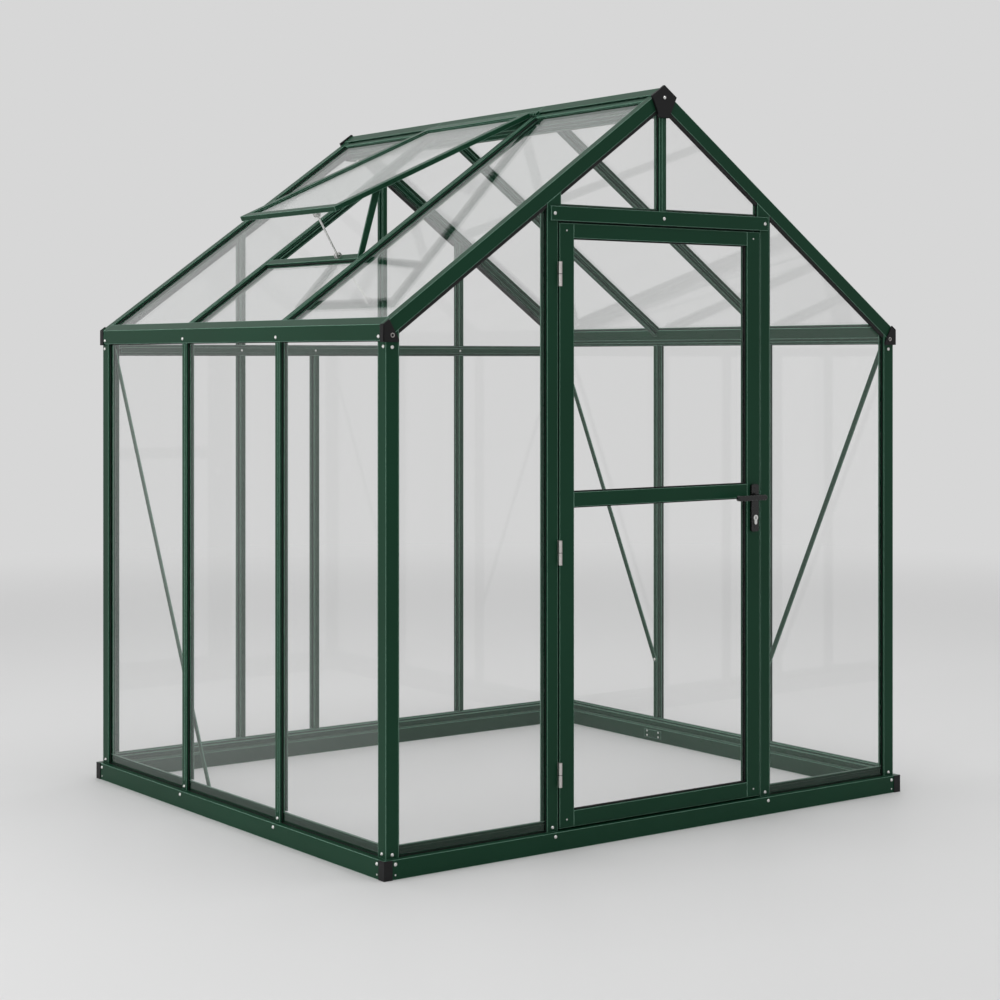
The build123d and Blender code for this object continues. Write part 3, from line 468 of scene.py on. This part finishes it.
def makeGlazingRubber():
    half, deep, cap, low = (greenhouse[k] for k in ("halfWide", "deep", "capDeep", "baseTop"))
    under = greenhouse["rafterDeep"]
    wallBays = spansBetween(paneEdge["wallEnd"], sideBars, deep - paneEdge["wallEnd"])
    for side, name in ((-1, "left"), (1, "right")):
        x = side * (half - cap)
        loops = [[(x, a, low), (x, b, low), (x, b, eaveLow), (x, a, eaveLow)] for a, b in wallBays]
        rubberLoops("rubber_" + name, loops, (side, 0, 0), glazingRubber, "frame")
    loops = []
    for inner, outer, foot in ((paneEdge["jambOut"], paneEdge["post"], low),
                               (barHalf, paneEdge["jambIn"], paneEdge["headerTop"])):
        tops = ((outer, roofTop(outer, under)), (inner, roofTop(inner, under)))
        loops += [[(s * x, cap, z) for x, z in ((inner, foot), (outer, foot)) + tops] for s in (-1, 1)]
    rubberLoops("rubber_front", loops, (0, -1, 0), glazingRubber, "frame")
    y, tie = deep - cap, paneEdge["tieLow"]
    loops = [[(a, y, low), (b, y, low), (b, y, tie), (a, y, tie)]
             for a, b in spansBetween(-paneEdge["post"], backBars, paneEdge["post"])]
    for first, last in spansBetween(-paneEdge["post"], gableBars, paneEdge["post"]):
        top = [(last, y, roofTop(last, under))]
        if first < 0 < last:
            top.append((0, y, roofTop(0, under)))
        top.append((first, y, roofTop(first, under)))
        loops.append([(first, y, paneEdge["tieHigh"]), (last, y, paneEdge["tieHigh"])] + top)
    rubberLoops("rubber_back", loops, (0, 1, 0), glazingRubber, "frame")
    roofBays = spansBetween(paneEdge["roofEnd"], sideBars, deep - paneEdge["roofEnd"])
    foot = paneEdge["eaveRun"]
    for side, name in ((-1, "left"), (1, "right")):
        loops = []
        for number, (a, b) in enumerate(roofBays):
            underVent = side < 0 and number == 1
            top = paneEdge["ventRun"] if underVent else slopeLong - paneEdge["ridgeRun"]
            loops.append([onSlope(side, a, foot, -cap), onSlope(side, b, foot, -cap),
                          onSlope(side, b, top, -cap), onSlope(side, a, top, -cap)])
        rubberLoops("rubber_roof_" + name, loops, roofFacing(side), glazingRubber, "frame")
    x = paneEdge["leafHalf"]
    for name, y, facing in zip(("rubber_door", "rubber_door_inside"), paneEdge["leafY"], (-1, 1)):
        loops = [[(-x, y, a), (x, y, a), (x, y, b), (-x, y, b)] for a, b in paneEdge["leafPanes"]]
        rubberLoops(name, loops, (0, facing, 0), doorRubber, "door")
    print("glazing rubber laid")


# painted shade: this black strip also stands in for the shadow under each gable rafter
rafterShadeStrip = {"section": [(0.0, 0.0), (0.0, 7.0), (8.5, 7.0), (10.5, 5.0), (10.5, 0.0)],
               "frontSpans": [(0.912, 0.419), (0.371, 0.014)],
               "backSpans": [(0.912, 0.464), (0.436, 0.022)]}


def makeRafterShadeStrips():
    # the deeper black rubber strip under each gable rafter's face, where the gable panes meet it; it is
    # also painted shade, a dark band in place of the shadow under the rafter
    starts, ends, outs = [], [], []
    cap, under = greenhouse["capDeep"], greenhouse["rafterDeep"]
    for wallY, facing, spans in ((cap, -1, rafterShadeStrip["frontSpans"]),
                                 (greenhouse["deep"] - cap, 1, rafterShadeStrip["backSpans"])):
        for side in (-1, 1):
            for outer, inner in spans:
                low = (side * outer, wallY, roofTop(outer, under))
                high = (side * inner, wallY, roofTop(inner, under))
                # the section grows to one side of its path, so the run is turned to point it down
                swapped = side * facing < 0
                starts.append(high if swapped else low)
                ends.append(low if swapped else high)
                outs.append((0, facing, 0))
    carriedBars("rafter_shade_strips", rafterShadeStrip["section"], starts, ends, outs, "frame", "black_plastic",
                epdm)


doorSill = {"section": [(-1.5, 0.0), (-1.5, 15.0), (1.5, 15.0), (1.5, 0.0)], "y": 0.0325, "half": 0.372}


def makeDoorSill():
    # threshold strip behind the leaf's foot, as deep as the stops beside the jambs
    half, y, z = doorSill["half"], doorSill["y"], greenhouse["baseTop"]
    carriedBars("door_threshold", doorSill["section"], [(-half, y, z)], [(half, y, z)], [(0, 0, 1)],
                "frame", "green_coat")


# painted shade: the door seals also stand in for the dark shade in the gap round the leaf
doorSealAndShade = {"section": [(-10.0, 0.0), (-10.0, 1.2), (10.0, 1.2), (10.0, 0.0)], "low": 0.062,
            "top": 1.728, "jambY": 0.015, "headerY": 0.012, "leafY": 0.0135, "endGap": 0.006}


def makeDoorSealsAndShade():
    # dark seals in the gap round the leaf: on the lock jamb, under the header, and on the hinge edge;
    # they are also painted shade, darkening that gap as its shadow would
    low, top, x = doorSealAndShade["low"], doorSealAndShade["top"], door["jambX"]
    half, y, z = x - doorSealAndShade["endGap"], doorSealAndShade["headerY"], door["headerLow"]
    carriedBars("jamb_seal_and_shade", doorSealAndShade["section"], [(x, doorSealAndShade["jambY"], low)],
                [(x, doorSealAndShade["jambY"], top)], [(-1, 0, 0)], "frame", "black_plastic", epdm)
    carriedBars("header_seal_and_shade", doorSealAndShade["section"], [(-half, y, z)], [(half, y, z)], [(0, 0, -1)],
                "frame", "black_plastic", epdm)
    x, y = -door["leafHalf"], doorSealAndShade["leafY"]
    carriedBars("leaf_seal_and_shade", doorSealAndShade["section"], [(x, y, low)], [(x, y, top)], [(-1, 0, 0)], "door",
                "black_plastic", epdm)


# painted shade: a dark strip on the cylinder's face in place of the shaded keyway
keywayShade = {"section": [(-1.1, -0.1), (-1.1, 0.5), (1.1, 0.5), (1.1, -0.1)], "belowTop": 0.0085,
           "half": 0.004}


def makeKeywayShades():
    # keyway of the lock cylinder: a dark upright strip on each face, painted shade in place of the
    # shadow down the keyway
    low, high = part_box("lock_cylinder")
    middle = high[2] - keywayShade["belowTop"]
    faces = ((low[1], -1), (high[1], 1))
    carriedBars("keyway_shade_strips", keywayShade["section"],
                [(door["stileX"], y, middle - keywayShade["half"]) for y, _ in faces],
                [(door["stileX"], y, middle + keywayShade["half"]) for y, _ in faces],
                [(0, facing, 0) for _, facing in faces], "door", "black_metal")


eaveBracket = {"outset": 0.009, "thick": 0.005, "proud": 0.003, "drop": 0.004, "topRun": 0.012,
               "foot": 0.039, "footRise": 0.007, "backReach": 0.016, "foldInset": 0.006,
               "softEdge": 0.0012}


def makeEaveBrackets():
    # moulded corner cap: a five-sided face on the gable side and a narrow return on the eave side
    out, run, thick = eaveBracket["outset"], eaveBracket["topRun"], eaveBracket["thick"]
    proud, foot, back = eaveBracket["proud"], eaveBracket["foot"], eaveBracket["backReach"]
    low = eaveLow - eaveBracket["drop"]
    inAtTop = run * math.cos(roofPitch) - proud * math.sin(roofPitch)
    topAtRun = greenhouse["eave"] + run * math.sin(roofPitch) + proud * math.cos(roofPitch)
    topOuter = topAtRun - (inAtTop + out) * math.tan(roofPitch)
    outline = np.array([(-out, low), (foot, low), (foot, low + eaveBracket["footRise"]),
                        (inAtTop, topAtRun), (-out, topOuter)])
    inset = eaveBracket["foldInset"]
    plan = np.array([(-out, -thick), (-inset, -thick), (-inset, back), (-out, back)])
    points, faces = [], []
    for side in (-1, 1):
        for wallY, inY in ((0, 1), (greenhouse["deep"], -1)):
            x = side * (greenhouse["halfWide"] - outline[:, 0])
            near = np.stack([x, np.full(5, wallY - inY * thick), outline[:, 1]], 1)
            foldX = side * (greenhouse["halfWide"] - plan[:, 0])
            foldY = wallY + inY * plan[:, 1]
            foldLow = np.stack([foldX, foldY, np.full(4, low)], 1)
            foldHigh = np.stack([foldX, foldY, np.full(4, topOuter)], 1)
            start = sum(len(block) for block in points)
            faces += prismFaces(5, start) + prismFaces(4, start + 10)
            points += [near, near + [0, inY * thick, 0], foldLow, foldHigh]
    piece = meshPiece("eave_bracket_shells", np.concatenate(points), faces, "frame", "black_plastic")
    mendNormals(piece)
    soften = piece.modifiers.new("softEdges", "BEVEL")
    soften.width = eaveBracket["softEdge"]
    soften.segments = 2
    soften.limit_method = "ANGLE"
    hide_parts("eave_brackets")


ridgeFlange = {"section": [(-8.5, 0.0), (-8.5, 4.6), (-6.5, 6.0), (6.5, 6.0), (8.5, 4.6), (8.5, 0.0)],
               "belowRidge": 0.0500}


def makeRidgeFlanges():
    # the glazing flange of the ridge beam, on the panes just below the ridge cap
    starts, ends, outs = [], [], []
    run, cap = slopeLong - ridgeFlange["belowRidge"], greenhouse["capDeep"]
    bays = spansBetween(paneEdge["roofEnd"], sideBars, greenhouse["deep"] - paneEdge["roofEnd"])
    for side in (-1, 1):
        for number, (a, b) in enumerate(bays):
            if side < 0 and number == 1:
                continue
            starts.append(onSlope(side, a, run, -cap))
            ends.append(onSlope(side, b, run, -cap))
            outs.append(roofFacing(side))
    carriedBars("ridge_flanges", ridgeFlange["section"], starts, ends, outs, "frame", "green_coat")


splicePlate = {"section": [(-14, 0.0), (-14, 1.2), (-13, 1.6), (13, 1.6), (14, 1.2), (14, 0.0)],
               "half": 0.045, "railDeep": 0.040, "high": 0.026,
               "rivets": ((-0.030, 0.018), (-0.030, 0.034), (0.030, 0.018), (0.030, 0.034)),
               "rivetFace": 0.0416}


def makeSplicePlates():
    # plates that join the two lengths of each side's base rail, on its inner face
    inner, high = greenhouse["halfWide"] - splicePlate["railDeep"], splicePlate["high"]
    near, far = sideBars[1] - splicePlate["half"], sideBars[1] + splicePlate["half"]
    starts, ends = ([(s * inner, y, high) for s in (-1, 1)] for y in (near, far))
    carriedBars("base_splice_plates", splicePlate["section"], starts, ends, [(1, 0, 0), (-1, 0, 0)],
                "frame", "green_coat")


ventStay = {"footRun": 0.3513, "hinge": (-0.0505, 2.1043), "tiltDeg": 24.3, "long": 0.775,
            "halfThick": 0.0075, "topDown": 0.628, "wide": 0.030, "footBack": 0.010, "eyeOffset": 0.145,
            "railHalf": 0.0125, "clipFaces": (0.0056, 0.0074), "pinOut": 0.009,
            "clip": [(-9, 0), (9, 0), (9, 9), (5, 15), (-5, 15), (-9, 9)]}
ventTilt = math.radians(ventStay["tiltDeg"])


def onVent(y, down, out):
    # a point down the open vent from its hinge line, raised off its middle plane by out
    x = ventStay["hinge"][0] - down * math.cos(ventTilt) - out * math.sin(ventTilt)
    z = ventStay["hinge"][1] - down * math.sin(ventTilt) + out * math.cos(ventTilt)
    return (x, y, z)


def makeVentStays():
    # the flat green stay at the vent's near side, from the sill's end up to the side rail
    low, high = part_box("vent_side_stay")
    foot, top, wide, under = (ventStay[k] for k in ("footRun", "topDown", "wide", "halfThick"))
    heel = foot - ventStay["footBack"]
    rows = [[onSlope(-1, y, heel), onSlope(-1, y, heel + wide), onVent(y, top - wide, -under),
             onVent(y, top, -under)] for y in (low[1], high[1])]
    piece = meshPiece("vent_stay_flat", np.array(rows, float), prismFaces(4), "frame", "green_coat")
    mendNormals(piece)
    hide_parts("vent_side_stay")
    # folded clips that hold the rod's two eyes
    eyeY = (sideBars[0] + sideBars[1]) / 2 - ventStay["eyeOffset"]
    rail = ventStay["long"] - ventStay["railHalf"]
    ventFacing = (math.sin(ventTilt), 0, -math.cos(ventTilt))
    starts, ends, outs, pins = [], [], [], []
    for turn in (-1, 1):
        near, far = (eyeY + turn * face for face in ventStay["clipFaces"])
        for start, end, out in ((onSlope(-1, near, foot), onSlope(-1, far, foot), roofFacing(-1)),
                                (onVent(near, rail, -under), onVent(far, rail, -under), ventFacing)):
            starts.append(start)
            ends.append(end)
            outs.append(out)
            pins.append((tuple(np.array(end) + ventStay["pinOut"] * np.array(out)), (0, turn, 0)))
    carriedBars("vent_stay_clips", ventStay["clip"], starts, ends, outs, "frame", "steel")
    turnedHeads("vent_stay_pins", pins, rivetHead, "frame", "steel")


hingeWasher = {"profile": [(0.6, -0.8), (5.75, -0.8), (5.75, 0.8), (0.6, 0.8)], "x": -0.380, "y": -0.008,
               "heights": (0.207, 0.820, 1.590)}


def makeHingeWashers():
    # thin dark nylon washer between the two knuckles of each hinge
    heads = [((hingeWasher["x"], hingeWasher["y"], z), (0, 0, 1)) for z in hingeWasher["heights"]]
    mendNormals(turnedHeads("hinge_washers", heads, hingeWasher["profile"], "frame", "black_plastic"))


screwHead = [(5.0, -0.2), (5.0, 0.6), (4.8, 0.8), (4.2, 0.8), (4.1, 1.8), (3.6, 2.5), (2.6, 2.8),
             (1.7, 2.8), (1.6, 1.7), (0.4, 1.6)]
rivetHead = [(3.8, -0.2), (3.7, 0.4), (3.1, 0.9), (1.8, 1.2), (1.3, 1.2), (1.2, 0.8), (0.3, 0.7)]
smallRivet = [(2.6, -0.2), (2.5, 0.3), (2.1, 0.7), (1.2, 0.9), (0.8, 0.9), (0.7, 0.6), (0.3, 0.5)]
ringScrew = [(6.0, -0.3), (6.0, 0.8), (5.6, 1.2), (4.9, 1.2), (4.5, 0.8), (4.4, -0.3)]

# insets run in from the corner, heights are up from the ground, and each pair is (gable side, eave side)
corner = {"postInset": (0.020, 0.019), "footHigh": (0.062, 0.064), "railInset": 0.021,
          "railHigh": 0.040, "pinHigh": 0.012, "headInset": (0.020, 0.012), "headHigh": (1.386, 1.388),
          "eaveInset": 0.026, "eaveHigh": 1.414, "ringInset": 0.018, "ringProud": 0.005,
          "ringHigh": 1.417, "plateFace": 0.042, "plateReach": (0.056, 0.090),
          "plateHigh": (0.016, 0.032)}
alongWall = {"footHigh": 0.064, "railHigh": 0.041, "eaveProud": 0.006, "eaveHigh": 1.416, "jambX": 0.401,
             "headerX": 0.396, "headerProud": 0.006, "headerHigh": 1.757, "ridgeProud": 0.008,
             "ridgeHigh": 2.104, "tieEnd": 0.900, "tieHigh": 1.384,
             "tiePair": ((-0.006, 1.377), (0.006, 1.391)), "tieInner": (-0.005, 0.029)}
braceX = 0.918
braceEnds = [(1, 0.025, 1.378), (1, sideBars[0], 0.290), (1, 1.635, 1.378), (1, sideBars[1], 0.290),
             (-1, 1.635, 1.378), (-1, 1.0027, 0.066), (-1, sideBars[1], 0.2818)]
leafFixings = {"faces": ((-0.002, -1), (0.026, 1)), "heights": (0.080, 1.711),
               "plateFaces": ((-0.010, -1), (0.034, 1)), "plateHeights": (0.857, 0.974)}


def cornerFixings(side, wallY, end, screws, rivets, pins, rings):
    # one corner post: side is left or right, end is the gable's outward direction
    half, proud, inY = greenhouse["halfWide"], greenhouse["baseProud"], -end
    gable, eave = (0, end, 0), (side, 0, 0)
    rail = corner["railInset"]
    for inset, high in ((corner["postInset"], corner["footHigh"]),
                        (corner["headInset"], corner["headHigh"])):
        screws.append(((side * (half - inset[0]), wallY, high[0]), gable))
        screws.append(((side * half, wallY + inY * inset[1], high[1]), eave))
    for high, group in ((corner["railHigh"], screws), (corner["pinHigh"], pins)):
        group.append(((side * (half - rail), wallY - inY * proud, high), gable))
        group.append(((side * (half + proud), wallY + inY * rail, high), eave))
    screws.append(((side * (half + alongWall["eaveProud"]), wallY + inY * corner["eaveInset"],
                    corner["eaveHigh"]), eave))
    rings.append(((side * (half - corner["ringInset"]), wallY - inY * corner["ringProud"],
                   corner["ringHigh"]), gable))
    face = corner["plateFace"]
    for reach in corner["plateReach"]:
        for high in corner["plateHigh"]:
            rivets.append(((side * (half - reach), wallY + inY * face, high), (0, inY, 0)))
            rivets.append(((side * (half - face), wallY + inY * reach, high), (-side, 0, 0)))


def makeFasteners():
    half, deep, proud = greenhouse["halfWide"], greenhouse["deep"], greenhouse["baseProud"]
    foot, rail, header = alongWall["footHigh"], alongWall["railHigh"], alongWall["headerHigh"]
    screws, rivets, pins, rings = [], [], [], []
    for side in (-1, 1):
        cornerFixings(side, 0, -1, screws, rivets, pins, rings)
        cornerFixings(side, deep, 1, screws, rivets, pins, rings)
        screws.append(((side * alongWall["jambX"], 0, foot), (0, -1, 0)))
        screws.append(((side * alongWall["jambX"], -proud, rail), (0, -1, 0)))
        screws.append(((side * alongWall["headerX"], -alongWall["headerProud"], header), (0, -1, 0)))
        for y in sideBars:
            screws.append(((side * half, y, foot), (side, 0, 0)))
            screws.append(((side * (half + proud), y, rail), (side, 0, 0)))
            eaveFace = side * (half + alongWall["eaveProud"])
            screws.append(((eaveFace, y, alongWall["eaveHigh"]), (side, 0, 0)))
        rivets.append(((side * alongWall["tieEnd"], deep, alongWall["tieHigh"]), (0, 1, 0)))
        for along, high in splicePlate["rivets"]:
            place = (side * (half - splicePlate["rivetFace"]), sideBars[1] + along, high)
            rivets.append((place, (-side, 0, 0)))
    for x in backBars:
        screws.append(((x, deep, foot), (0, 1, 0)))
        screws.append(((x, deep + proud, rail), (0, 1, 0)))
        rivets += [((x + shift, deep, high), (0, 1, 0)) for shift, high in alongWall["tiePair"]]
        shift, inward = alongWall["tieInner"]
        rivets.append(((x + shift, deep - inward, alongWall["tieHigh"]), (0, -1, 0)))
    screws.append(((0, -alongWall["headerProud"], header), (0, -1, 0)))
    screws.append(((0, -alongWall["ridgeProud"], alongWall["ridgeHigh"]), (0, -1, 0)))
    screws.append(((0, deep + alongWall["ridgeProud"], alongWall["ridgeHigh"]), (0, 1, 0)))
    screws += [((side * braceX, y, z), (-side, 0, 0)) for side, y, z in braceEnds]
    turnedHeads("frame_screws", screws, screwHead, "frame", "steel")
    turnedHeads("frame_rivets", rivets, rivetHead, "frame", "steel")
    turnedHeads("base_cap_pins", pins, smallRivet, "frame", "steel")
    turnedHeads("eave_ring_screws", rings, ringScrew, "frame", "steel", rolledSteel)
    corners = [((s * door["stileX"], y, z), (0, facing, 0)) for y, facing in leafFixings["faces"]
               for s in (-1, 1) for z in leafFixings["heights"]]
    turnedHeads("door_rivets", corners, smallRivet, "door", "steel")
    plates = [((door["stileX"], y, z), (0, facing, 0)) for y, facing in leafFixings["plateFaces"]
              for z in leafFixings["plateHeights"]]
    turnedHeads("lock_plate_screws", plates, smallRivet, "door", "black_metal")
    print("fasteners:", len(screws), "screws and", len(rivets) + len(corners), "rivets")


makeBarRibs()
makeGlazingRubber()
makeRafterShadeStrips()
makeDoorSill()
makeDoorSealsAndShade()
makeKeywayShades()
makeEaveBrackets()
makeRidgeFlanges()
makeSplicePlates()
makeVentStays()
makeHingeWashers()
makeFasteners()


studio = {"floorGrey": "#d8d8d8", "backGrey": "#d7d7d7", "clearReach": 4.2, "farReach": 9.5,
          "floorRadius": 12.0, "floorSides": 96, "worldLight": 0.48, "aim": (0, 0.8, 0.9)}


def makeFloor():
    # a round floor: real shade near the greenhouse, fading outwards into the plain backdrop
    made, tree = startMaterial("studioFloor")
    place = addNode(tree, "ShaderNodeTexCoord").outputs["Object"]
    length = addNode(tree, "ShaderNodeVectorMath", {"operation": "LENGTH"}, {0: place})
    fade = addNode(tree, "ShaderNodeMapRange",
                   {"interpolation_type": "SMOOTHSTEP", "From Min": studio["clearReach"],
                    "From Max": studio["farReach"]}, {"Value": length.outputs["Value"]})
    paint = addNode(tree, "ShaderNodeBsdfPrincipled",
                    {"Base Color": linearColour(studio["floorGrey"]), "Roughness": 0.55,
                     "Specular IOR Level": 0.25})
    far = addNode(tree, "ShaderNodeEmission",
                  {"Color": linearColour(studio["backGrey"]), "Strength": 1.0})
    both = addNode(tree, "ShaderNodeMixShader", {},
                   {0: fade.outputs["Result"], 1: paint.outputs["BSDF"], 2: far.outputs["Emission"]})
    closeMaterial(tree, both.outputs["Shader"])
    sides, radius = studio["floorSides"], studio["floorRadius"]
    around = np.linspace(0, 2 * math.pi, sides, endpoint=False)
    rim = np.stack([radius * np.cos(around), radius * np.sin(around), np.zeros(sides)], 1)
    mesh = bpy.data.meshes.new("studioFloor")
    mesh.from_pydata(rim.tolist(), [], [list(range(sides))])
    mesh.materials.append(made)
    floor = bpy.data.objects.new("studioFloor", mesh)
    bpy.context.scene.collection.objects.link(floor)


def makeWorld():
    # what the camera, the glass and the metal see is the pale backdrop; the rest is even studio light
    world = bpy.data.worlds.new("studioWorld")
    bpy.context.scene.world = world
    world.use_nodes = True
    tree = world.node_tree
    tree.nodes.clear()
    path = addNode(tree, "ShaderNodeLightPath")
    seen = addNode(tree, "ShaderNodeMath", {"operation": "MAXIMUM"},
                   {0: path.outputs["Is Camera Ray"], 1: path.outputs["Is Glossy Ray"]})
    seenToo = addNode(tree, "ShaderNodeMath", {"operation": "MAXIMUM"},
                      {0: seen.outputs[0], 1: path.outputs["Is Transmission Ray"]})
    light = addNode(tree, "ShaderNodeBackground",
                    {"Color": (1, 1, 1, 1), "Strength": studio["worldLight"]})
    back = addNode(tree, "ShaderNodeBackground",
                   {"Color": linearColour(studio["backGrey"]), "Strength": 1.0})
    both = addNode(tree, "ShaderNodeMixShader", {},
                   {0: seenToo.outputs[0], 1: light.outputs[0], 2: back.outputs[0]})
    out = addNode(tree, "ShaderNodeOutputWorld")
    tree.links.new(both.outputs[0], out.inputs["Surface"])


lamps = [
    {"name": "softTop", "at": (0.8, 0.6, 9.0), "wide": 7.0, "high": 7.0, "watts": 455.0},
    {"name": "softLeft", "at": (-6.5, 1.2, 3.0), "wide": 3.0, "high": 3.0, "watts": 120.0},
    {"name": "cornerStrip", "at": (-6.2, -3.6, 1.7), "wide": 1.4, "high": 3.2, "watts": 35.0},
]


def makeLamps(aim):
    for lamp in lamps:
        data = bpy.data.lights.new(lamp["name"], "AREA")
        data.shape = "RECTANGLE"
        data.size = lamp["wide"]
        data.size_y = lamp["high"]
        data.energy = lamp["watts"]
        holder = bpy.data.objects.new(lamp["name"], data)
        holder.location = lamp["at"]
        away = np.array(aim) - np.array(lamp["at"])
        flat = math.hypot(away[0], away[1])
        holder.rotation_euler = (math.atan2(flat, -away[2]), 0, math.atan2(-away[0], away[1]))
        holder.visible_camera = False
        bpy.context.scene.collection.objects.link(holder)


viewpoint = {"at": (-3.972, -4.593, 1.355), "turnDeg": -36.44, "focalMm": 76.0, "sensorMm": 36.0,
             "rise": -0.141, "clipEnd": 60.0}


def makeCamera():
    # a level camera, with the rise of a shift lens as the photograph's upright lines ask
    data = bpy.data.cameras.new("photoView")
    data.lens = viewpoint["focalMm"]
    data.sensor_width = viewpoint["sensorMm"]
    data.shift_y = viewpoint["rise"]
    data.clip_end = viewpoint["clipEnd"]
    holder = bpy.data.objects.new("photoView", data)
    holder.location = viewpoint["at"]
    holder.rotation_euler = (math.radians(90), 0, math.radians(viewpoint["turnDeg"]))
    bpy.context.scene.collection.objects.link(holder)
    bpy.context.scene.camera = holder


makeFloor()
makeWorld()
makeLamps(studio["aim"])
makeCamera()
bpy.context.scene.view_settings.view_transform = "Standard"
print("studio and camera ready")
